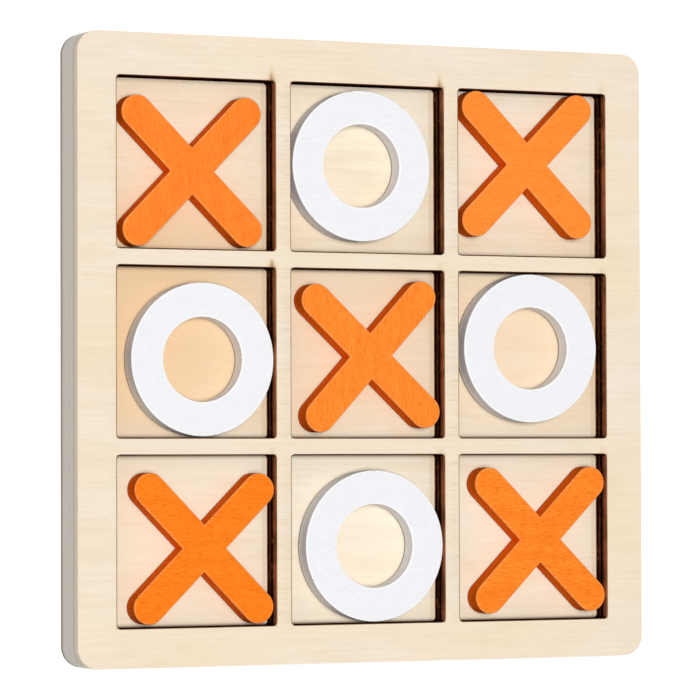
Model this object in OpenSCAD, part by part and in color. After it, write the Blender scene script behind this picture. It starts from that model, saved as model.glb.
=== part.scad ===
// Tic tac toe set: a framed wooden board with loose crosses and rings in its windows.
//
// A thick base board carries two thin grid sheets, glued one on the other, which
// leave nine square windows. Each window holds one loose piece, lying on the base.
// The board lies flat with +Z up. The origin is on the underside, at the middle of
// the square board, and +Y points to the top row. All sizes are in millimetres.

/* [Board] */
// Side of the square board
board_side = 150; // [150:1:170]
// Radius of the board's outer corners
board_corner_r = 5; // [2:0.5:9]
// Thickness of the solid base board
base_t = 6; // [3:0.1:9]
// Thickness of each of the two grid sheets
grid_t = 2.8; // [2:0.1:4]

/* [Windows] */
// Width of the grid's margin to the left and right of the windows
side_margin = 9.9; // [6:0.1:9.9]
// Width of the bars between the windows
bar_w = 4.2; // [3:0.1:4.2]
// Radius left in each corner of a window by the cutting beam
window_corner_r = 0.8; // [0.2:0.1:2]
// How far the windows sit below the middle of the board
windows_drop = 0.5; // [0:0.1:1]

/* [Loose pieces] */
// Thickness of every loose piece
piece_t = 5; // [3:0.1:8]
// Outer diameter of a ring
ring_d = 36.6; // [28:0.1:36.6]
// Diameter of the hole in a ring
ring_hole_d = 20.2; // [10:0.1:22]
// Length of a cross arm from tip to tip
arm_length = 47.4; // [36:0.1:47.4]
// Width of a cross arm
arm_w = 8; // [5:0.1:8]

/* [Where the loose pieces lie] */
// Top left cross: right and up from the middle of its window, and its turn in degrees
cross_top_left_lie = [-0.8, -1.8, 0.5]; // [-2.2:0.1:2.2]
// Top right cross: right, up and turn
cross_top_right_lie = [-1.0, 2.2, -0.1]; // [-2.2:0.1:2.2]
// Centre cross: right, up and turn
cross_centre_lie = [1.1, -0.6, 2.1]; // [-2.2:0.1:2.2]
// Bottom left cross: right, up and turn
cross_bottom_left_lie = [2.1, -1.8, -0.4]; // [-2.2:0.1:2.2]
// Bottom right cross: right, up and turn
cross_bottom_right_lie = [2.2, -0.7, 0.3]; // [-2.2:0.1:2.2]
// Top ring: right, up and turn
ring_top_lie = [-1.3, 0.7, 0]; // [-2.2:0.1:2.2]
// Left ring: right, up and turn
ring_left_lie = [1.8, -1.7, 0]; // [-2.2:0.1:2.2]
// Right ring: right, up and turn
ring_right_lie = [-0.3, 1.7, 0]; // [-2.2:0.1:2.2]
// Bottom ring: right, up and turn
ring_bottom_lie = [1.9, -1.7, 0]; // [-2.2:0.1:2.2]

/* [Hidden] */
$fn = 96;

// Side of one square window, and the distance from one window to the next
window_side = (board_side - 2 * side_margin - 2 * bar_w) / 3;
window_pitch = window_side + bar_w;

// Middle of a window: columns run -1, 0, 1 from left to right, rows from bottom to top
function window_middle(column, row) = [column, row] * window_pitch - [0, windows_drop];

// A square with rounded corners, built from true arcs
module rounded_square(side, r) {
    straight = side - 2 * r;
    square([side, straight], center = true);
    square([straight, side], center = true);
    for (x = [-1, 1], y = [-1, 1])
        translate([x, y] * straight / 2) circle(r);
}

// One grid sheet lying at z = 0: the board's outline with nine windows cut out
module grid_sheet() {
    linear_extrude(grid_t)
        difference() {
            rounded_square(board_side, board_corner_r);
            for (column = [-1:1], row = [-1:1])
                translate(window_middle(column, row))
                    rounded_square(window_side, window_corner_r);
        }
}

// One bar of a cross, with its two tips fully rounded
module arm() {
    straight = arm_length - arm_w;
    square([straight, arm_w], center = true);
    for (side = [-1, 1])
        translate([side * straight / 2, 0]) circle(arm_w / 2);
}

// A cross at the origin: two arms along the diagonals
module cross() {
    linear_extrude(piece_t) {
        rotate(45) arm();
        rotate(-45) arm();
    }
}

// A ring at the origin
module ring() {
    linear_extrude(piece_t)
        difference() {
            circle(d = ring_d);
            circle(d = ring_hole_d);
        }
}

// Lays a loose piece on the base, in the window at this column and row
module lay(column, row, lie) {
    translate([0, 0, base_t])
        translate(window_middle(column, row))
            translate([lie[0], lie[1]])
                rotate(lie[2])
                    children();
}

// The board, from the bottom up
module base_board() {
    color("wheat")
        linear_extrude(base_t) rounded_square(board_side, board_corner_r);
}

module lower_grid() {
    color("saddlebrown") translate([0, 0, base_t]) grid_sheet();
}

module upper_grid() {
    color("antiquewhite") translate([0, 0, base_t + grid_t]) grid_sheet();
}

// The crosses
module cross_top_left() {
    color("darkorange") lay(-1, 1, cross_top_left_lie) cross();
}

module cross_top_right() {
    color("darkorange") lay(1, 1, cross_top_right_lie) cross();
}

module cross_centre() {
    color("darkorange") lay(0, 0, cross_centre_lie) cross();
}

module cross_bottom_left() {
    color("darkorange") lay(-1, -1, cross_bottom_left_lie) cross();
}

module cross_bottom_right() {
    color("darkorange") lay(1, -1, cross_bottom_right_lie) cross();
}

// The rings
module ring_top() {
    color("white") lay(0, 1, ring_top_lie) ring();
}

module ring_left() {
    color("white") lay(-1, 0, ring_left_lie) ring();
}

module ring_right() {
    color("white") lay(1, 0, ring_right_lie) ring();
}

module ring_bottom() {
    color("white") lay(0, -1, ring_bottom_lie) ring();
}

base_board();
lower_grid();
upper_grid();
cross_top_left();
cross_top_right();
cross_centre();
cross_bottom_left();
cross_bottom_right();
ring_top();
ring_left();
ring_right();
ring_bottom();
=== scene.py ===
# %% [markdown]
# # A wooden tic tac toe set
# The real set is a small square board with nine windows, and crosses and rings of painted
# wood that lie loose in them. The board is three sheets of light plywood glued in a stack:
# a thick base, and two thin sheets whose windows were cut by laser, which left their walls
# burnt brown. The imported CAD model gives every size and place. This lesson builds each
# piece again with its softened edges, and gives it its grain, its burnt walls or its paint.

# %% Load the frame
import math

import bmesh
import bpy
from mathutils import Matrix, Vector


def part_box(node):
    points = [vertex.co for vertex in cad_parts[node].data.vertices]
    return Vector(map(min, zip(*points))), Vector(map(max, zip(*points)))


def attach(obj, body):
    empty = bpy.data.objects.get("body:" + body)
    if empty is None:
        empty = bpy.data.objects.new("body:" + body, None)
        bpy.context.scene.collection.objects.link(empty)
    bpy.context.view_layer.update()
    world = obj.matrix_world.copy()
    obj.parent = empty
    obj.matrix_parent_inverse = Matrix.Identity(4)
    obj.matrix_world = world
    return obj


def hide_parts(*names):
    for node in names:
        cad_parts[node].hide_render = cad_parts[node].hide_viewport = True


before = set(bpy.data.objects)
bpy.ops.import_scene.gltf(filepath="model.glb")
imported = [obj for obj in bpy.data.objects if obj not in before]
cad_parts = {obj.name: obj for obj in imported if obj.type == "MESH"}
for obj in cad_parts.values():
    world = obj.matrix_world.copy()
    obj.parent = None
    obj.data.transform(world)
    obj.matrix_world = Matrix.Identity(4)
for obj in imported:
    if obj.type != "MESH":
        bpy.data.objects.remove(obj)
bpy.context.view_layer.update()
MM = 0.001

# %% [markdown]
# ## Helpers
# Paint and wood colours are easiest to name as the hex values that a colour picker shows.
# Shaders work with linear light, so one function turns the one into the other. A second
# small function adds a node to a material, sets it up and links it, which keeps each
# material readable as a list of what it is made of.

# %% Colours and nodes
def colour(hex_code):
    """A linear RGBA colour from an sRGB hex code such as 'f6e5cc'."""
    parts = [int(hex_code[i:i + 2], 16) / 255 for i in (0, 2, 4)]
    linear = [c / 12.92 if c <= 0.04045 else ((c + 0.055) / 1.055) ** 2.4 for c in parts]
    return (*linear, 1.0)


def add(tree, kind, inputs=None, output=0, **settings):
    """Adds a node with its settings, values and links, and returns one of its outputs."""
    node = tree.nodes.new("ShaderNode" + kind)
    for name, value in settings.items():
        setattr(node, name, value)
    for socket, value in (inputs or {}).items():
        if isinstance(value, bpy.types.NodeSocket):
            tree.links.new(value, node.inputs[socket])
        else:
            node.inputs[socket].default_value = value
    return node.outputs[output]


# A Mix node's sockets go by number when it mixes colours
FACTOR, UNDER, OVER, MIXED = 0, 6, 7, 2
print("white in linear light:", colour("ffffff"))

# %% [markdown]
# ## The camera
# The set is seen from above and from the left, with the top row upwards, so the walls on
# the left of the board and on the right of each window show. A long lens from almost a
# metre away keeps the board's sides nearly parallel.

# %% Camera
CAMERA_LENS_MM = 199.8
CAMERA_FROM_BOARD_MM = Vector((-396.23, -26.8, 852.0))
CAMERA_TURN_DEG = (1.743, -24.663, -0.203)

board_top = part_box("upper_grid")[1].z
camera = bpy.data.objects.new("camera", bpy.data.cameras.new("camera"))
bpy.context.scene.collection.objects.link(camera)
camera.data.lens = CAMERA_LENS_MM
camera.data.sensor_width = 36
camera.location = CAMERA_FROM_BOARD_MM * MM + Vector((0, 0, board_top))
camera.rotation_euler = [math.radians(turn) for turn in CAMERA_TURN_DEG]
bpy.context.scene.camera = camera
print("camera at", [round(value, 3) for value in camera.location])

# %% [markdown]
# ## Light and floor
# The set lies on a light table, as in a studio. Its top is opal acrylic, cast smooth and
# lit from below: the eye sees plain white that glows a little, so that hardly any shadow
# falls beside the board. A softbox high above and a little to the left lights the faces, and
# a dim room leaves the upright sides in gentle shade. The Standard view keeps paint colours
# as they are, where a film look would wash them out.

# %% Floor and lights
# Sizes in metres
FLOOR_SIZE = 3.0
FLOOR_GLOW = 0.22
SOFTBOX_SIZE = 1.7
SOFTBOX_HEIGHT = 4.0
SOFTBOX_OFFSET = (-0.8, 0.0)
SOFTBOX_WATTS = 156.0
ROOM_BRIGHTNESS = 0.24

scene = bpy.context.scene
scene.view_settings.view_transform = "Standard"

bm = bmesh.new()
bmesh.ops.create_grid(bm, x_segments=1, y_segments=1, size=FLOOR_SIZE / 2)
floor = bpy.data.objects.new("floor", bpy.data.meshes.new("floor"))
bm.to_mesh(floor.data)
bm.free()
scene.collection.objects.link(floor)

opal = bpy.data.materials.new("white_opal_acrylic_light_table")
opal.use_nodes = True
shader = opal.node_tree.nodes["Principled BSDF"]
shader.inputs["Base Color"].default_value = colour("fbfbfb")
shader.inputs["Roughness"].default_value = 0.9
shader.inputs["Specular IOR Level"].default_value = 0.1
shader.inputs["Emission Color"].default_value = colour("ffffff")
shader.inputs["Emission Strength"].default_value = FLOOR_GLOW
floor.data.materials.append(opal)

softbox = bpy.data.objects.new("softbox", bpy.data.lights.new("softbox", "AREA"))
softbox.data.shape = "SQUARE"
softbox.data.size = SOFTBOX_SIZE
softbox.data.energy = SOFTBOX_WATTS
softbox.location = (*SOFTBOX_OFFSET, SOFTBOX_HEIGHT)
scene.collection.objects.link(softbox)

scene.world = bpy.data.worlds.new("room")
scene.world.use_nodes = True
room = scene.world.node_tree.nodes["Background"]
room.inputs["Color"].default_value = colour("ffffff")
room.inputs["Strength"].default_value = ROOM_BRIGHTNESS
print("softbox", SOFTBOX_WATTS, "W, room", ROOM_BRIGHTNESS, "table glow", FLOOR_GLOW)

# %% [markdown]
# ## Measuring the CAD sheets
# The windows are holes in one solid, so a bounding box can't place them. The CAD sheet's
# own flat walls can: each wall that stands square to an axis gives one position. From left
# to right these are the outer edge, then two walls for each of three windows, then the other
# outer edge. A corner's radius is how far short of the corner the straight wall stops.

# %% Measure the board
SQUARE_ON = 0.99999
SAME_PLACE = 1e-6
FIRST_WALLS = (1, 3, 5)


def flat_walls(node, axis):
    """Places, in metres, where a CAD node has flat walls square to an axis."""
    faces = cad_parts[node].data.polygons
    return sorted({round(f.center[axis], 6) for f in faces if abs(f.normal[axis]) > SQUARE_ON})


def corner_radius(node, corner_x, corner_y):
    """Radius of the rounded corner that a CAD node has near a point."""
    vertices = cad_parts[node].data.vertices
    return min(abs(v.co.x - corner_x) for v in vertices if abs(v.co.y - corner_y) < SAME_PLACE)


x_walls = flat_walls("upper_grid", 0)
y_walls = flat_walls("upper_grid", 1)
outline = (Vector((x_walls[0], y_walls[0], 0)), Vector((x_walls[-1], y_walls[-1], 0)))
windows = [
    (Vector((x_walls[i], y_walls[j], 0)), Vector((x_walls[i + 1], y_walls[j + 1], 0)))
    for i in FIRST_WALLS for j in FIRST_WALLS
]
outline_radius = corner_radius("upper_grid", x_walls[-1], y_walls[-1])
window_radius = corner_radius("upper_grid", x_walls[2], y_walls[2])
print(len(windows), "windows of", round((x_walls[2] - x_walls[1]) / MM, 2), "mm, corners",
      round(outline_radius / MM, 2), "and", round(window_radius / MM, 2), "mm")

# %% [markdown]
# ## Sheets of plywood
# A laser cuts a sheet along its outline and round each window. In Blender the same sheet
# could be a cube with nine boolean cuts, but drawing it first is cleaner: rounded squares
# are laid flat, the area between them is filled once, and the fill is pulled up to the
# sheet's thickness. A vertex bevel rounds a flat corner exactly like a compass would.

# %% Draw a rounded square and fill a sheet
OUTLINE_STEPS = 12
WINDOW_STEPS = 4


def draw_rounded_square(bm, low, high, radius, steps):
    """Lays a rounded square flat in the mesh, between two corners."""
    corners = bmesh.ops.create_grid(bm, x_segments=1, y_segments=1, size=0.5)["verts"]
    bmesh.ops.scale(bm, vec=(high.x - low.x, high.y - low.y, 1), verts=corners)
    bmesh.ops.translate(bm, vec=(low + high) / 2, verts=corners)
    bmesh.ops.bevel(bm, geom=corners, offset=radius, segments=steps, profile=0.5,
                    affect="VERTICES", material=-1)


def thicken(bm, bottom, top):
    """Pulls a flat drawing up into a solid that stands from bottom to top."""
    bmesh.ops.translate(bm, vec=(0, 0, bottom), verts=bm.verts)
    pulled = bmesh.ops.extrude_face_region(bm, geom=bm.faces[:])["geom"]
    moved = [part for part in pulled if isinstance(part, bmesh.types.BMVert)]
    bmesh.ops.translate(bm, vec=(0, 0, top - bottom), verts=moved)
    bmesh.ops.recalc_face_normals(bm, faces=bm.faces)


def cut_sheet(bottom, top, holes):
    """A sheet of the board's outline with rounded square holes in it."""
    bm = bmesh.new()
    draw_rounded_square(bm, *outline, outline_radius, OUTLINE_STEPS)
    for low, high in holes:
        draw_rounded_square(bm, low, high, window_radius, WINDOW_STEPS)
    bmesh.ops.delete(bm, geom=bm.faces[:], context="FACES_ONLY")
    bmesh.ops.triangle_fill(bm, use_beauty=True, use_dissolve=False, edges=bm.edges[:])
    thicken(bm, bottom, top)
    print("cut a sheet of", round((top - bottom) / MM, 2), "mm with", len(holes), "windows")
    return bm


# %% [markdown]
# ## Edges
# No edge of a real board is a perfect corner. The outer edges were sanded round by hand,
# and the laser left a small burnt bevel round each window. Where two sheets meet, their
# corners leave a hairline groove, so the joint shows as a fine line. Each rim is found by
# asking which edges lie between a level face and an upright one, at a given height. A bevel
# of several steps makes a round edge, and one of a single step a flat chamfer.

# %% Soften the rims
SANDED_TOP = 1.0 * MM
SANDED_BOTTOM = 0.9 * MM
BURNT_BEVEL = 0.28 * MM
JOINT_GROOVE = 0.07 * MM
WINDOW_MARGIN = 1.0 * MM
SAME_HEIGHT = 1e-7
SHARP_RADIANS = 1


def is_inside(point):
    """True for a point among the windows, and false for one on the outer edge."""
    return (x_walls[1] - WINDOW_MARGIN < point.x < x_walls[-2] + WINDOW_MARGIN
            and y_walls[1] - WINDOW_MARGIN < point.y < y_walls[-2] + WINDOW_MARGIN)


def rim(bm, height, inside=None):
    """Edges between a level face at a height and an upright wall, of the windows or outside."""
    found = []
    for edge in bm.edges:
        middle = (edge.verts[0].co + edge.verts[1].co) / 2
        level = all(abs(v.co.z - height) < SAME_HEIGHT for v in edge.verts)
        sharp = edge.calc_face_angle(0) > SHARP_RADIANS
        if level and sharp and inside in (None, is_inside(middle)):
            found.append(edge)
    return found


def soften(bm, edges, size, steps):
    """Rounds or bevels edges by a size in metres."""
    bmesh.ops.bevel(bm, geom=edges, offset=size, segments=steps, profile=0.5,
                    affect="EDGES", material=-1, clamp_overlap=True)


print("rims in mm:", [round(size / MM, 2) for size in (
    SANDED_TOP, SANDED_BOTTOM, BURNT_BEVEL, JOINT_GROOVE)])

# %% [markdown]
# ## From drawing to object
# Every piece ends the same way: its mesh becomes an object that stays at the origin, takes
# its materials, stands in for its CAD node and rides on that node's body. Weighted normals
# let the large flat faces keep their true direction, so only the small bevels look round.

# %% Finish a piece
SHARPEST_SMOOTH_EDGE = math.radians(50)


def finish_piece(bm, name, body, materials):
    """Makes the mesh an object in place of the CAD node of the same name."""
    mesh = bpy.data.meshes.new(name)
    bm.to_mesh(mesh)
    bm.free()
    mesh.shade_smooth()
    mesh.set_sharp_from_angle(angle=SHARPEST_SMOOTH_EDGE)
    for material in materials:
        mesh.materials.append(material)
    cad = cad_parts[name]
    cad.name = name + "_cad"
    piece = bpy.data.objects.new(name, mesh)
    scene.collection.objects.link(piece)
    weighted = piece.modifiers.new("weighted_normals", "WEIGHTED_NORMAL")
    weighted.keep_sharp = True
    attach(piece, body)
    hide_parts(name)
    print(name, len(mesh.polygons), "faces")


# %% [markdown]
# ## Patterns in wood
# Wood is a bundle of fibres, so nearly all of its marks are long and thin and run one way.
# A noise texture gives such streaks when it is stretched along the grain. One function
# takes their real length and width in millimetres, and says how dark each point is. It
# reads Object coordinates, so the grain runs through the solid and carries on round edges.
# A finish is then a stack of colours, each laid on only as far as its pattern says.

# %% Streaks and layers
RAGGEDNESS = 0.55


def streaks(tree, place, length_mm, width_mm, low, high, strength=1.0, seed=0.0, detail=2.0):
    """From 0 to a strength: how far into a streak of that length and width each point lies."""
    across = 1 / (width_mm * MM)
    stretched = add(tree, "Mapping", {
        "Vector": place, "Location": (seed, seed * 2, seed * 3),
        "Scale": (1 / (length_mm * MM), across, across)})
    noise = add(tree, "TexNoise", {
        "Vector": stretched, "Scale": 1.0, "Detail": detail, "Roughness": RAGGEDNESS})
    return add(tree, "MapRange", {
        "Value": noise, "From Min": low, "From Max": high, "To Max": strength})


def lay_colours(tree, coat, layers):
    """Lays (hex code, pattern) layers over a colour, from the bottom up."""
    for hex_code, pattern in layers:
        coat = add(tree, "Mix", {FACTOR: pattern, UNDER: coat, OVER: colour(hex_code)},
                   MIXED, data_type="RGBA")
    return coat


def new_material(name, roughness, specular):
    """A material with its Object coordinates and its shader ready to use."""
    material = bpy.data.materials.new(name)
    material.use_nodes = True
    tree = material.node_tree
    shader = tree.nodes["Principled BSDF"]
    shader.inputs["Roughness"].default_value = roughness
    shader.inputs["Specular IOR Level"].default_value = specular
    print("new material", name)
    return material, tree, shader, add(tree, "TexCoord", output="Object")


def dress(tree, shader, coat, relief, depth_mm):
    """Gives the shader its colour, and a relief from 0 to 1 of a real depth."""
    tree.links.new(coat, shader.inputs["Base Color"])
    bump = add(tree, "Bump", {"Height": relief, "Strength": 1.0, "Distance": depth_mm * MM})
    tree.links.new(bump, shader.inputs["Normal"])


# %% [markdown]
# ## Places round a window
# Smoke and scorch marks sit at the same places round all nine windows. So the pattern asks
# each point for the nearest window: the grid's pitch snaps the point to a middle, and what
# is left over is its place within that window. The larger of its two distances from the
# middle, less half a window, is how far it lies beyond the edge.

# %% Nearest window
floor_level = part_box("base_board")[1].z
joint_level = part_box("lower_grid")[1].z
HALF_WINDOW = (x_walls[2] - x_walls[1]) / 2
PITCH = x_walls[3] - x_walls[1]
grid_middle = Vector(((x_walls[3] + x_walls[4]) / 2, (y_walls[3] + y_walls[4]) / 2, 0))
print("pitch", round(PITCH / MM, 2), "mm, middle", [round(v / MM, 2) for v in grid_middle])


def nearest_window(tree, place):
    """Middle of the nearest window, place within it as X and Y, and distance past its edge."""
    pitch = Vector((PITCH, PITCH, 0))
    centred = add(tree, "VectorMath", {0: place, 1: grid_middle}, operation="SUBTRACT")
    moved = add(tree, "VectorMath", {0: centred, 1: pitch / 2}, operation="ADD")
    middle = add(tree, "VectorMath", {0: moved, 1: pitch}, operation="SNAP")
    middle = add(tree, "VectorMath", {0: middle, 1: pitch}, operation="MINIMUM")
    middle = add(tree, "VectorMath", {0: middle, 1: -pitch}, operation="MAXIMUM")
    local = add(tree, "VectorMath", {0: centred, 1: middle}, operation="SUBTRACT")
    x = add(tree, "SeparateXYZ", {0: local}, "X")
    y = add(tree, "SeparateXYZ", {0: local}, "Y")
    away = add(tree, "VectorMath", {0: local}, operation="ABSOLUTE")
    away_x = add(tree, "SeparateXYZ", {0: away}, "X")
    away_y = add(tree, "SeparateXYZ", {0: away}, "Y")
    furthest = add(tree, "Math", {0: away_x, 1: away_y}, operation="MAXIMUM")
    beyond = add(tree, "Math", {0: furthest, 1: HALF_WINDOW}, operation="SUBTRACT")
    return middle, x, y, beyond


# %% [markdown]
# ## Sanded basswood
# The faces are rotary-cut basswood, sanded and left bare. The eye sees a creamy, almost
# even wood: broad warm and cool clouds, faint fibres a few centimetres long, and many
# short fine ticks. Real ticks are about 0.1 mm wide; here they are 0.25 mm so that they show.
# Sanding leaves the wood dull, so its shine is broad and weak, and its dark fibres lie a
# hair lower than the rest.

# %% Bare wood
CLOUDS = {"length_mm": 60, "width_mm": 22, "low": 0.35, "high": 0.68}
SHADES = {"length_mm": 14, "width_mm": 4, "low": 0.46, "high": 0.74, "strength": 0.20}
FIBRES = {"length_mm": 26, "width_mm": 0.8, "low": 0.40, "high": 0.70, "detail": 3}
FIBRE_STRENGTH = 0.22
TICKS = {"length_mm": 3.2, "width_mm": 0.25, "low": 0.56, "high": 0.72, "strength": 0.28}
FIBRE_DEPTH_MM = -0.02


def basswood(name, pale, warm, dark, seed):
    """Sanded bare basswood, grain along X: its material, tree, shader, place, coat and fibres."""
    material, tree, shader, place = new_material(name, roughness=0.62, specular=0.3)
    fibres = streaks(tree, place, **FIBRES, seed=seed + 3)
    coat = lay_colours(tree, colour(pale), [
        (warm, streaks(tree, place, **CLOUDS, seed=seed)),
        (dark, streaks(tree, place, **SHADES, seed=seed + 5)),
        (dark, streaks(tree, place, **FIBRES, strength=FIBRE_STRENGTH, seed=seed + 3)),
        (dark, streaks(tree, place, **TICKS, seed=seed + 7))])
    return material, tree, shader, place, coat, fibres


# %% [markdown]
# ## The base's face
# The floor of the windows is one sheet. A growth band, warmer than the rest, runs through
# its middle row and is strongest on the left; the left side is warmer too, and the near side
# a little paler. These are broad washes of colour, so each is a slow ramp across the sheet,
# and the band's edge wanders as a growth ring does.

# %% Window floors: the growth band
# A pair in mm says where a mark begins to show and where it is full
BAND_MIDDLE_MM = 6
BAND_MM = (42, 8)
BAND_WANDER_MM = 12
BAND_WANDER = {"length_mm": 90, "width_mm": 40, "low": 0.3, "high": 0.7}
BAND_FADE_MM = (-50, -10)
BAND_STRENGTH = (0.70, 0.31)
WARM_LEFT_MM = (-20, -70)
WARM_LEFT_STRENGTH = 0.30
PALE_NEAR_MM = (-10, -40)
PALE_NEAR_STRENGTH = 0.10

bare_floor, tree, shader, place, coat, fibres = basswood(
    "bare_sanded_basswood_floor", "ede2ce", "ecdbc2", "d9bb96", seed=1.7)
along = add(tree, "SeparateXYZ", {0: place}, "X")
across = add(tree, "SeparateXYZ", {0: place}, "Y")
wander = streaks(tree, place, **BAND_WANDER, strength=BAND_WANDER_MM * MM, seed=8.0)
from_band = add(tree, "Math", {0: across, 1: wander}, operation="ADD")
from_band = add(tree, "Math", {0: from_band, 1: (BAND_MIDDLE_MM + BAND_WANDER_MM / 2) * MM},
                operation="SUBTRACT")
from_band = add(tree, "Math", {0: from_band}, operation="ABSOLUTE")
band = add(tree, "MapRange", {
    "Value": from_band, "From Min": BAND_MM[0] * MM, "From Max": BAND_MM[1] * MM},
    interpolation_type="SMOOTHSTEP")
fade = add(tree, "MapRange", {
    "Value": along, "From Min": BAND_FADE_MM[0] * MM, "From Max": BAND_FADE_MM[1] * MM,
    "To Min": BAND_STRENGTH[0], "To Max": BAND_STRENGTH[1]})
band = add(tree, "Math", {0: band, 1: fade}, operation="MULTIPLY")
left_side = add(tree, "MapRange", {
    "Value": along, "From Min": WARM_LEFT_MM[0] * MM, "From Max": WARM_LEFT_MM[1] * MM,
    "To Max": WARM_LEFT_STRENGTH})
near_side = add(tree, "MapRange", {
    "Value": across, "From Min": PALE_NEAR_MM[0] * MM, "From Max": PALE_NEAR_MM[1] * MM,
    "To Max": PALE_NEAR_STRENGTH})
print("growth band's middle at", BAND_MIDDLE_MM, "mm, wandering by", BAND_WANDER_MM, "mm")

# %% [markdown]
# ## Darker floor at the foot of the walls
# A narrow strip by the right wall of each window is a little darker. Along the other three
# walls lies a fine dark line, which is painted contact shadow. It fades out at the far end of
# the top row. The marks stop at the sheet's upper face, so that its underside stays plain.

# %% Window floors: dark strip and painted contact shadow
STRIP_MM = (1.35, 1.2)
STRIP_STRENGTH = 0.30
# Painted contact shadow along the left, near and far walls
WALL_SHADE_MM = (0.50, 0.12)
WALL_SHADE_STRENGTH = 0.6
SHADE_FADES_FROM_MM = (30, 45)
FACE_DEPTH_MM = 0.5

x, y = nearest_window(tree, place)[1:3]
from_right = add(tree, "Math", {0: HALF_WINDOW, 1: x}, operation="SUBTRACT")
strip = add(tree, "MapRange", {
    "Value": from_right, "From Min": STRIP_MM[0] * MM, "From Max": STRIP_MM[1] * MM,
    "To Max": STRIP_STRENGTH})
# Painted contact shadow: a fine dark line along the left, near and far walls of each window
away_y = add(tree, "Math", {0: y}, operation="ABSOLUTE")
towards_left = add(tree, "Math", {0: x, 1: -1}, operation="MULTIPLY")
wall_shade = add(tree, "Math", {0: away_y, 1: towards_left}, operation="MAXIMUM")
wall_shade = add(tree, "MapRange", {
    "Value": wall_shade, "From Min": HALF_WINDOW - WALL_SHADE_MM[0] * MM,
    "From Max": HALF_WINDOW - WALL_SHADE_MM[1] * MM, "To Max": WALL_SHADE_STRENGTH})
# The painted shade fades out at the far end of the top row
shade_fades_far = add(tree, "MapRange", {
    "Value": across, "From Min": SHADE_FADES_FROM_MM[1] * MM, "From Max": SHADE_FADES_FROM_MM[0] * MM})
wall_shade = add(tree, "Math", {0: wall_shade, 1: shade_fades_far}, operation="MULTIPLY")
height = add(tree, "SeparateXYZ", {0: place}, "Z")
upper_face = add(tree, "Math", {0: height, 1: floor_level - FACE_DEPTH_MM * MM},
                 operation="GREATER_THAN")
left_side, near_side, band, strip, wall_shade = [
    add(tree, "Math", {0: pattern, 1: upper_face}, operation="MULTIPLY")
    for pattern in (left_side, near_side, band, strip, wall_shade)]
coat = lay_colours(tree, coat, [
    ("e8c79c", left_side), ("fbf4e6", near_side), ("e4bb8a", band), ("c2a37c", strip),
    ("5a3518", wall_shade)])
dress(tree, shader, coat, fibres, FIBRE_DEPTH_MM)
print("glue strips", STRIP_MM[0], "mm wide, soot lines", WALL_SHADE_MM[0], "mm")

# %% [markdown]
# ## The grid's face
# The laser leaves its marks on the bare wood round each window: a thin speckled scorch along
# the edge, and short stained fibres on the narrow bars beside it. The stain is strongest to
# the left of each window, and fades out on the outer margins. Its ticks are drawn 0.22 mm
# wide, about twice as coarse as real ones, so that they show.

# %% Grid faces: scorched edges and stained bars
SCORCH_MM = 0.35
SCORCH_STRENGTH = 0.9
SPECKS = {"length_mm": 0.5, "width_mm": 0.5, "low": 0.40, "high": 0.62}
STAIN_ENDS_MM = (2.4, -1.1)
STAIN_STRENGTH = (0.22, 0.42)
STAINED_TICKS = {"length_mm": 3.5, "width_mm": 0.22, "low": 0.46, "high": 0.70}

bare_face, tree, shader, place, coat, fibres = basswood(
    "bare_sanded_basswood_face", "ebdecc", "ecdabf", "d8bf9c", seed=4.2)
middle, x, y, beyond = nearest_window(tree, place)
specks = streaks(tree, place, **SPECKS, seed=3.0)
scorch = add(tree, "MapRange", {
    "Value": beyond, "From Min": SCORCH_MM * MM, "From Max": 0.0, "To Max": SCORCH_STRENGTH})
scorch = add(tree, "Math", {0: scorch, 1: specks}, operation="MULTIPLY")
beside = add(tree, "Math", {0: x}, operation="ABSOLUTE")
beside = add(tree, "Math", {0: beside, 1: HALF_WINDOW}, operation="GREATER_THAN")
level_with = add(tree, "Math", {0: y}, operation="ABSOLUTE")
level_with = add(tree, "Math", {0: level_with, 1: HALF_WINDOW}, operation="LESS_THAN")
from_middle = add(tree, "SeparateXYZ", {0: place}, "X")
from_middle = add(tree, "Math", {0: from_middle}, operation="ABSOLUTE")
last_wall = PITCH + HALF_WINDOW
on_bars = add(tree, "MapRange", {
    "Value": from_middle, "From Min": last_wall + STAIN_ENDS_MM[0] * MM,
    "From Max": last_wall + STAIN_ENDS_MM[1] * MM})
stained = add(tree, "MapRange", {
    "Value": x, "From Min": HALF_WINDOW, "From Max": -HALF_WINDOW,
    "To Min": STAIN_STRENGTH[0], "To Max": STAIN_STRENGTH[1]})
for where in (beside, level_with, on_bars):
    stained = add(tree, "Math", {0: stained, 1: where}, operation="MULTIPLY")
ticks = streaks(tree, place, **STAINED_TICKS, seed=11.0)
ticks = add(tree, "Math", {0: ticks, 1: stained}, operation="MULTIPLY")
print("scorch", SCORCH_MM, "mm wide, stain out to", round(last_wall / MM, 2), "mm")

# %% [markdown]
# ## Smoke plumes
# Above one corner of each window, where the beam pierced the wood, a small plume of smoke
# has browned the face. The plumes are strong at the first windows that were cut and weaker
# at the later ones. A plume thins with the distance sideways and, more slowly, with the
# distance upwards. The same pattern raised to a power leaves only the dark heart.

# %% Grid faces: smoke plumes
PLUME_MM = (2.4, 0.1)
PLUME_SPREAD = 0.45
PLUME_INSET_MM = 0.9
PLUME_FOOT_MM = -0.3
PLUME_STRENGTH = (0.45, 0.95)
HEART_POWER = 3.5

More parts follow.
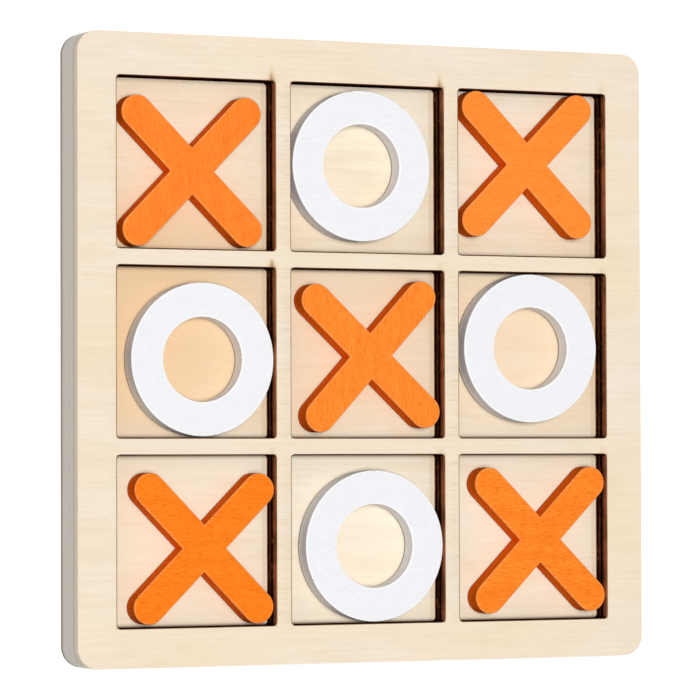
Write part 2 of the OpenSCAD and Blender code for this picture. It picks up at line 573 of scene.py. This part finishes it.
aside = add(tree, "Math", {0: x, 1: HALF_WINDOW - PLUME_INSET_MM * MM}, operation="SUBTRACT")
aside = add(tree, "Math", {0: aside}, operation="ABSOLUTE")
above = add(tree, "Math", {0: y, 1: HALF_WINDOW}, operation="SUBTRACT")
is_above = add(tree, "Math", {0: above, 1: PLUME_FOOT_MM * MM}, operation="GREATER_THAN")
plume = add(tree, "Math", {0: above, 1: PLUME_SPREAD, 2: aside}, operation="MULTIPLY_ADD")
plume = add(tree, "MapRange", {
    "Value": plume, "From Min": PLUME_MM[0] * MM, "From Max": PLUME_MM[1] * MM},
    interpolation_type="SMOOTHSTEP")
first_cut = add(tree, "VectorMath", {0: middle, 1: (-1 / PITCH, 1 / PITCH, 0)}, "Value",
                operation="DOT_PRODUCT")
first_cut = add(tree, "MapRange", {
    "Value": first_cut, "From Min": 0.0, "From Max": 1.0,
    "To Min": PLUME_STRENGTH[0], "To Max": PLUME_STRENGTH[1]})
plume = add(tree, "Math", {0: plume, 1: first_cut}, operation="MULTIPLY")
plume = add(tree, "Math", {0: plume, 1: is_above}, operation="MULTIPLY")
plume_heart = add(tree, "Math", {0: plume, 1: HEART_POWER}, operation="POWER")
coat = lay_colours(tree, coat, [
    ("c9ae88", ticks), ("dcc296", plume), ("8f6236", plume_heart), ("40240f", scorch)])
dress(tree, shader, coat, fibres, FIBRE_DEPTH_MM)
print("plumes reach", PLUME_MM[0], "mm sideways, at", PLUME_STRENGTH, "of full strength")

# %% [markdown]
# ## Sawn and sanded plywood edge
# Round the outside the stack of veneers shows. The eye sees grey-beige wood in level layers:
# those with the grain along the edge are a little paler than the ones between, whose end
# grain is cut. The top sheet is a touch pinker. Towards its rim it turns lighter and warmer,
# partly where hands rub it and partly as a painted highlight of the rounded rim. A darker
# line marks the glue between the grid sheets, and the foot is darker, a painted shade where
# the edge turns down to the table. A wave texture in bands gives the layers, at the veneers'
# real pitch.

# %% Outer edge
PLY_THICKNESS_MM = 0.93
PLY_CONTRAST = 0.3
GLUE_LINE_MM = 0.35
GLUE_STRENGTH = 0.5
# Painted shade at the foot: none above the first height, full below the second
SHADED_FOOT_MM = (1.9, 0.9)
# Lighter band up to the top rim: partly wear from hands, partly a painted highlight
RUBBED_AND_HIGHLIGHT_MM = (0.4, 2.2)
RUBBED_AND_HIGHLIGHT_STRENGTH = 0.6
END_GRAIN = {"length_mm": 4, "width_mm": 0.35, "low": 0.45, "high": 0.75, "seed": 6.0}
END_GRAIN_STRENGTH = 0.22
WAVE_PERIOD_AT_SCALE_1 = math.pi / 10

edge_ply, tree, shader, place = new_material("sanded_plywood_edge", roughness=0.7, specular=0.25)
plies = add(tree, "TexWave", {
    "Vector": place, "Scale": WAVE_PERIOD_AT_SCALE_1 / (2 * PLY_THICKNESS_MM * MM)},
    "Fac", wave_type="BANDS", bands_direction="Z")
plies = add(tree, "Math", {0: plies, 1: PLY_CONTRAST}, operation="MULTIPLY")
height = add(tree, "SeparateXYZ", {0: place}, "Z")
top_sheet = add(tree, "Math", {0: height, 1: joint_level}, operation="GREATER_THAN")
glue_line = add(tree, "Math", {0: height, 1: joint_level, 2: GLUE_LINE_MM * MM},
                operation="COMPARE")
glue_line = add(tree, "Math", {0: glue_line, 1: GLUE_STRENGTH}, operation="MULTIPLY")
# The foot of the edge is darker: painted shade where it turns down to the table
shaded_foot = add(tree, "MapRange", {
    "Value": height, "From Min": SHADED_FOOT_MM[0] * MM, "From Max": SHADED_FOOT_MM[1] * MM})
# Lighter and warmer towards the top rim: partly rubbed by hands, partly a painted highlight of the
# rounded rim
rubbed_and_highlight = add(tree, "MapRange", {
    "Value": height, "From Min": joint_level + RUBBED_AND_HIGHLIGHT_MM[0] * MM,
    "From Max": joint_level + RUBBED_AND_HIGHLIGHT_MM[1] * MM, "To Max": RUBBED_AND_HIGHLIGHT_STRENGTH})
end_grain = streaks(tree, place, **END_GRAIN)
coat = lay_colours(tree, colour("c0bab1"), [
    ("bcb1a4", top_sheet), ("b4afa6", plies), ("8f8474", glue_line), ("dcc8ae", rubbed_and_highlight),
    ("86807a", shaded_foot),
    ("a09582", streaks(tree, place, **END_GRAIN, strength=END_GRAIN_STRENGTH))])
dress(tree, shader, coat, end_grain, FIBRE_DEPTH_MM)
print("veneers", PLY_THICKNESS_MM, "mm thick, glue line", 2 * GLUE_LINE_MM, "mm wide")

# %% [markdown]
# ## Laser-cut wall
# The beam burns as it cuts, so the eye sees window walls of dead matt char, dark brown to
# black. Each sheet was cut alone. The lower one has a pale foot, where glue covers the char,
# then black, brown, and black again up to the joint. The upper one is black at its foot and
# a blotchy red-brown above, a little greyer at its rim. The near and far walls and the corners
# are darker still, nearly black all over: painted shade over the char. A colour ramp lists
# these colours at their heights above the floor, and a little noise added to the height makes
# the lines waver. Fine ripples mark the pulses of the beam.

# %% Burnt walls
# Millimetres above the floor, and the colour there
WALL_COLOURS = [
    (0.0, "c9a57f"), (0.38, "8a6142"), (0.62, "120502"), (1.45, "180803"), (1.80, "5a3820"),
    (2.30, "58331c"), (2.65, "120501"), (3.40, "140602"), (3.75, "6a3c24"), (4.40, "a4643c"),
    (5.20, "a8643e"), (5.45, "94664a")]
BURN_WAVER_MM = 0.22
BURN_WAVER = {"length_mm": 3.0, "width_mm": 3.0, "low": 0.3, "high": 0.7}
BLOTCHES = {"length_mm": 11, "width_mm": 7, "low": 0.42, "high": 0.66, "strength": 0.60}
PALE_SPOTS = {"length_mm": 1.6, "width_mm": 1.6, "low": 0.58, "high": 0.80, "strength": 0.35}
RIPPLES = {"length_mm": 0.7, "width_mm": 0.7, "low": 0.3, "high": 0.7}
RIPPLE_HEIGHT_MM = 0.03
# How much a wall faces along Y where its painted shade begins, and where it is full
SHADED_NEAR_OR_FAR = (0.3, 0.65)
SHADED_NEAR_OR_FAR_STRENGTH = 0.9

burnt, tree, shader, place = new_material("laser_charred_basswood", roughness=0.9, specular=0.0)
height = add(tree, "SeparateXYZ", {0: place}, "Z")
waver = streaks(tree, place, **BURN_WAVER, strength=BURN_WAVER_MM * MM, seed=9.0)
height = add(tree, "Math", {0: height, 1: waver}, operation="ADD")
waver_middle = BURN_WAVER_MM / 2 * MM
height = add(tree, "MapRange", {
    "Value": height, "From Min": floor_level + waver_middle, "From Max": board_top + waver_middle})
wall = add(tree, "ValToRGB", {"Fac": height}, "Color")
stops = wall.node.color_ramp.elements
wall_mm = (board_top - floor_level) / MM
stops[0].color = colour(WALL_COLOURS[0][1])
stops[1].color = colour(WALL_COLOURS[-1][1])
for above_mm, hex_code in WALL_COLOURS[1:]:
    stops.new(above_mm / wall_mm).color = colour(hex_code)

ripples = streaks(tree, place, **RIPPLES, seed=2.0)
# Walls facing near or far take a painted shade, almost black
outward = add(tree, "NewGeometry", output="Normal")
shaded_near_or_far = add(tree, "SeparateXYZ", {0: outward}, "Y")
shaded_near_or_far = add(tree, "Math", {0: shaded_near_or_far}, operation="ABSOLUTE")
shaded_near_or_far = add(tree, "MapRange", {
    "Value": shaded_near_or_far, "From Min": SHADED_NEAR_OR_FAR[0], "From Max": SHADED_NEAR_OR_FAR[1],
    "To Max": SHADED_NEAR_OR_FAR_STRENGTH})
coat = lay_colours(tree, wall, [
    ("200b04", streaks(tree, place, **BLOTCHES, seed=5.0)),
    ("b5754c", streaks(tree, place, **PALE_SPOTS, seed=2.0)),
    ("0e0300", shaded_near_or_far)])
dress(tree, shader, coat, ripples, RIPPLE_HEIGHT_MM)
print("walls", round(wall_mm, 2), "mm high in", len(WALL_COLOURS), "colours")

# %% [markdown]
# ## The board
# Three pieces, from the bottom up. A face takes the burnt finish if it belongs to a window
# and isn't level, the plywood edge if it stands on the outside, and bare wood otherwise. Each
# rim is listed with its height, its place (True round the windows, False outside, None for
# both), its size and its number of steps.

# %% Build the three sheets
FACE, EDGE, BURNT = 0, 1, 2
LEVEL = 0.99
UPRIGHT = 0.4


def choose_finish(bm):
    """Gives each face the slot of the finish that the real sheet has there."""
    for face in bm.faces:
        level = abs(face.normal.z) > LEVEL
        if is_inside(face.calc_center_median()) and not level:
            face.material_index = BURNT
        elif abs(face.normal.z) < UPRIGHT:
            face.material_index = EDGE
        else:
            face.material_index = FACE


def build_sheet(name, holes, face_material, rims):
    """Cuts one sheet, softens each rim that is listed, and finishes it as a piece."""
    low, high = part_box(name)
    bm = cut_sheet(low.z, high.z, holes)
    for height, inside, size, steps in rims(low.z, high.z):
        soften(bm, rim(bm, height, inside), size, steps)
    choose_finish(bm)
    finish_piece(bm, name, "board", [face_material, edge_ply, burnt])


build_sheet("base_board", [], bare_floor, lambda low, high: [
    (low, None, SANDED_BOTTOM, 4), (high, None, JOINT_GROOVE, 1)])
build_sheet("lower_grid", windows, bare_face, lambda low, high: [
    (low, False, JOINT_GROOVE, 1), (high, None, JOINT_GROOVE, 1)])
build_sheet("upper_grid", windows, bare_face, lambda low, high: [
    (low, None, JOINT_GROOVE, 1), (high, False, SANDED_TOP, 5), (high, True, BURNT_BEVEL, 2)])

# %% [markdown]
# ## Painted pieces
# The crosses and rings are cut from 5 mm wood, tumbled so that their edges are barely
# soft, and dipped in thin matt paint. The paint sinks into the wood, so the eye sees grain
# as darker streaks in a soft, almost shineless colour. The sides' tone is partly the paint
# that the sawn wood drinks and partly painted light: the orange sides come out deeper, and
# the white sides are painted lighter than their tops, against the shade they stand in. The
# rims take a lighter tone, a painted highlight, and bare wood shows in a few spots where the
# paint is rubbed off. How far the surface faces up picks the colour; whether it faces the
# piece's middle tells the inside of a ring's hole from its outside, and the hole's wall takes
# a darker tone as painted shade. A darker line at the foot is painted contact shadow. The
# streaks are drawn 0.30 mm wide, coarser than real, to show.

# %% Paint
# How much a surface faces up where its tone begins, and where it is full
SIDE_FACING = (0.35, 0.10)
TOP_FACING = (0.97, 0.999)
# Painted contact shadow at a piece's foot: none above the first height, full below the second
SHADE_FOOT_MM = (0.95, 0.3)
SHADE_FOOT_STRENGTH = 0.9
BARE_WOOD = "dcbd96"
BARE_SPOTS = {"length_mm": 1.3, "width_mm": 1.3, "low": 0.67, "high": 0.71, "strength": 0.7}
FINE_GRAIN = {"length_mm": 2.0, "width_mm": 0.30, "low": 0.47, "high": 0.68}
BROAD_GRAIN = {"length_mm": 18, "width_mm": 2.2, "low": 0.38, "high": 0.70}
BROAD_PART = 0.4
GRAIN_DEPTH_MM = -0.03


def painted_wood(name, tones, top, middle, grain_turn, strength, seed):
    """Thin matt paint on wood whose grain runs at an angle, turned about the piece's middle."""
    # Foot and hole tones are painted shade, the rim tone a painted highlight, the side tone partly
    # painted light
    shade_foot_tone, side_paint_and_light_tone, hole_shade_tone, rim_highlight_tone, streak_tone = tones
    material, tree, shader, place = new_material(name, roughness=0.5, specular=0.005)
    turned = add(tree, "Mapping", {
        "Vector": place, "Location": middle, "Rotation": (0, 0, math.radians(grain_turn))},
        vector_type="TEXTURE")
    outward = add(tree, "NewGeometry", output="Normal")
    upward = add(tree, "SeparateXYZ", {0: outward}, "Z")
    upward = add(tree, "Math", {0: upward}, operation="ABSOLUTE")
    # The side tone is partly paint drunk by the sawn wood, partly painted light
    side = add(tree, "MapRange", {
        "Value": upward, "From Min": SIDE_FACING[0], "From Max": SIDE_FACING[1]})
    flat = add(tree, "MapRange", {
        "Value": upward, "From Min": TOP_FACING[0], "From Max": TOP_FACING[1]})
    from_middle = add(tree, "VectorMath", {0: place, 1: middle}, operation="SUBTRACT")
    outwards = add(tree, "VectorMath", {0: from_middle, 1: outward}, "Value",
                   operation="DOT_PRODUCT")
    # The wall of a ring's hole takes a darker tone, as painted shade
    hole_shade = add(tree, "Math", {0: outwards, 1: 0.0}, operation="LESS_THAN")
    hole_shade = add(tree, "Math", {0: hole_shade, 1: side}, operation="MULTIPLY")
    height = add(tree, "SeparateXYZ", {0: place}, "Z")
    # A darker line at the foot is painted contact shadow
    shaded_foot = add(tree, "MapRange", {
        "Value": height, "From Min": floor_level + SHADE_FOOT_MM[0] * MM,
        "From Max": floor_level + SHADE_FOOT_MM[1] * MM, "To Max": SHADE_FOOT_STRENGTH})
    grain = streaks(tree, turned, **FINE_GRAIN, seed=seed)
    broad_strength = strength * BROAD_PART
    # The rim tone under all layers shows on the bevels as a painted highlight
    coat = lay_colours(tree, colour(rim_highlight_tone), [
        (BARE_WOOD, streaks(tree, place, **BARE_SPOTS, seed=seed + 4)),
        (side_paint_and_light_tone, side), (hole_shade_tone, hole_shade), (shade_foot_tone, shaded_foot), (top, flat),
        (streak_tone, streaks(tree, turned, **FINE_GRAIN, strength=strength, seed=seed)),
        (streak_tone, streaks(tree, turned, **BROAD_GRAIN, strength=broad_strength, seed=seed + 2))])
    dress(tree, shader, coat, grain, GRAIN_DEPTH_MM)
    return material


# %% [markdown]
# ## Crosses
# A cross is sawn from a flat board. It could be drawn point by point, but it grows more
# simply: a square hub, an arm pulled out of each of its sides, and a vertex bevel that
# rounds the two corners of every tip until they meet in a half circle.

# %% Crosses
PIECE_EDGE = 0.4 * MM
EDGE_STEPS = 3
TIP_STEPS = 10
SIDE_WALL = 0.1
# Just under half the arm's width, so that the two bevels of a tip don't run into each other
TIP_ROUNDING = 0.4995
TIP_GAP = 0.02 * MM


def measure_cross(node):
    """Middle, turn, arm width and arm length of a CAD cross, from its box and its flat walls."""
    low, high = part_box(node)
    middle = (low + high) / 2
    upright = [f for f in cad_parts[node].data.polygons if abs(f.normal.z) < SIDE_WALL]
    wall = max(upright, key=lambda face: face.area)
    turn = math.degrees(math.atan2(wall.normal.y, wall.normal.x)) % 90 - 45
    width = 2 * abs((wall.center - middle).dot(wall.normal))
    tip_centre = ((high.x - low.x) / 2 - width / 2) / math.cos(math.radians(45 - abs(turn)))
    return middle, turn, width, 2 * tip_centre + width


def saw_cross(node):
    """The mesh of one cross, lying where its CAD node lies."""
    low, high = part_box(node)
    middle, turn, width, length = measure_cross(node)
    bm = bmesh.new()
    bmesh.ops.create_grid(bm, x_segments=1, y_segments=1, size=width / 2)
    tips = []
    for side in bm.edges[:]:
        outwards = (side.verts[0].co + side.verts[1].co).normalized()
        arm = bmesh.ops.extrude_edge_only(bm, edges=[side])["geom"]
        ends = [part for part in arm if isinstance(part, bmesh.types.BMVert)]
        bmesh.ops.translate(bm, vec=outwards * (length - width) / 2, verts=ends)
        tips += ends
    bmesh.ops.bevel(bm, geom=tips, offset=width * TIP_ROUNDING, segments=TIP_STEPS, profile=0.5,
                    affect="VERTICES", material=-1)
    bmesh.ops.remove_doubles(bm, verts=bm.verts, dist=TIP_GAP)
    thicken(bm, low.z, high.z)
    soften(bm, rim(bm, low.z) + rim(bm, high.z), PIECE_EDGE, EDGE_STEPS)
    bmesh.ops.rotate(bm, verts=bm.verts, cent=(0, 0, 0),
                     matrix=Matrix.Rotation(math.radians(45 + turn), 3, "Z"))
    bmesh.ops.translate(bm, verts=bm.verts, vec=(middle.x, middle.y, 0))
    print(node, "turned", round(turn, 2), "degrees, arms", round(length / MM, 2), "mm")
    return bm


# %% [markdown]
# ## Orange paint
# Each cross was cut from the board at its own angle to the grain, and took the paint its own
# way. So each has its own material, with its own grain angle in degrees, colour of its top
# and strength of its streaks. The other tones are shared: the foot's painted shade, the side,
# the hole's painted shade, the rim's painted highlight and the streak.

# %% Paint the crosses
SEED_STEP = 1.3
# Tones: foot's painted shade, side, hole's painted shade, rim's painted highlight, streak
ORANGE_TONES = ("7a2000", "f26404", "f26404", "ff9c52", "e06408")
CROSS_PAINT = {
    "cross_top_left": (95, "fb8632", 0.42), "cross_top_right": (2, "fb8e38", 0.32),
    "cross_centre": (93, "fb8c34", 0.52), "cross_bottom_left": (-4, "fb8222", 0.66),
    "cross_bottom_right": (-6, "fb8a2e", 0.66)}
for number, (node, (grain_turn, top, strength)) in enumerate(CROSS_PAINT.items()):
    middle = measure_cross(node)[0]
    paint = painted_wood("orange_matt_paint_" + node, ORANGE_TONES, top, middle, grain_turn,
                         strength, seed=number * SEED_STEP)
    finish_piece(saw_cross(node), node, node, [paint])

# %% [markdown]
# ## Rings
# A ring is a section swept round a circle, as on a lathe. The section is a rectangle with
# its four corners rounded; a full spin that merges its ends closes it without a seam.

# %% Rings
RING_STEPS = 128


def turn_ring(node):
    """The mesh of one ring, lying where its CAD node lies."""
    low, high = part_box(node)
    middle = (low + high) / 2
    outer = (high.x - low.x) / 2
    hole = min((v.co.xy - middle.xy).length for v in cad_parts[node].data.vertices)
    bm = bmesh.new()
    section = bmesh.ops.create_grid(bm, x_segments=1, y_segments=1, size=0.5)["verts"]
    bmesh.ops.scale(bm, vec=(outer - hole, high.z - low.z, 1), verts=section)
    bmesh.ops.bevel(bm, geom=section, offset=PIECE_EDGE, segments=EDGE_STEPS, profile=0.5,
                    affect="VERTICES", material=-1)
    bmesh.ops.delete(bm, geom=bm.faces[:], context="FACES_ONLY")
    bmesh.ops.rotate(bm, verts=bm.verts, cent=(0, 0, 0),
                     matrix=Matrix.Rotation(math.radians(90), 3, "X"))
    bmesh.ops.translate(bm, verts=bm.verts, vec=((outer + hole) / 2, 0, middle.z))
    bmesh.ops.spin(bm, geom=bm.verts[:] + bm.edges[:], cent=(0, 0, 0), axis=(0, 0, 1),
                   angle=math.tau, steps=RING_STEPS, use_merge=True)
    bmesh.ops.recalc_face_normals(bm, faces=bm.faces)
    bmesh.ops.translate(bm, verts=bm.verts, vec=(middle.x, middle.y, 0))
    print(node, "is", round(2 * outer / MM, 2), "mm with a", round(2 * hole / MM, 2), "mm hole")
    return bm


# %% [markdown]
# ## White paint
# The white paint covers better than the orange, so its streaks are faint. One strength and
# one colour of the top do for all four rings, and each has its own grain angle in degrees.

# %% Paint the rings
# The white sides are painted lighter than the top against their shade, and the hole a little darker
# as painted shade
WHITE_TONES = ("65503e", "fcf9f8", "ecebed", "ffffff", "d0d3d9")
WHITE_TOP = "ebebee"
WHITE_STREAK_STRENGTH = 0.18
FIRST_RING_SEED = 20
RING_GRAIN = {"ring_top": 5, "ring_left": 20, "ring_right": -8, "ring_bottom": 3}
for number, (node, grain_turn) in enumerate(RING_GRAIN.items()):
    low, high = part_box(node)
    paint = painted_wood("white_matt_paint_" + node, WHITE_TONES, WHITE_TOP, (low + high) / 2,
                         grain_turn, WHITE_STREAK_STRENGTH,
                         seed=FIRST_RING_SEED + number * SEED_STEP)
    finish_piece(turn_ring(node), node, node, [paint])
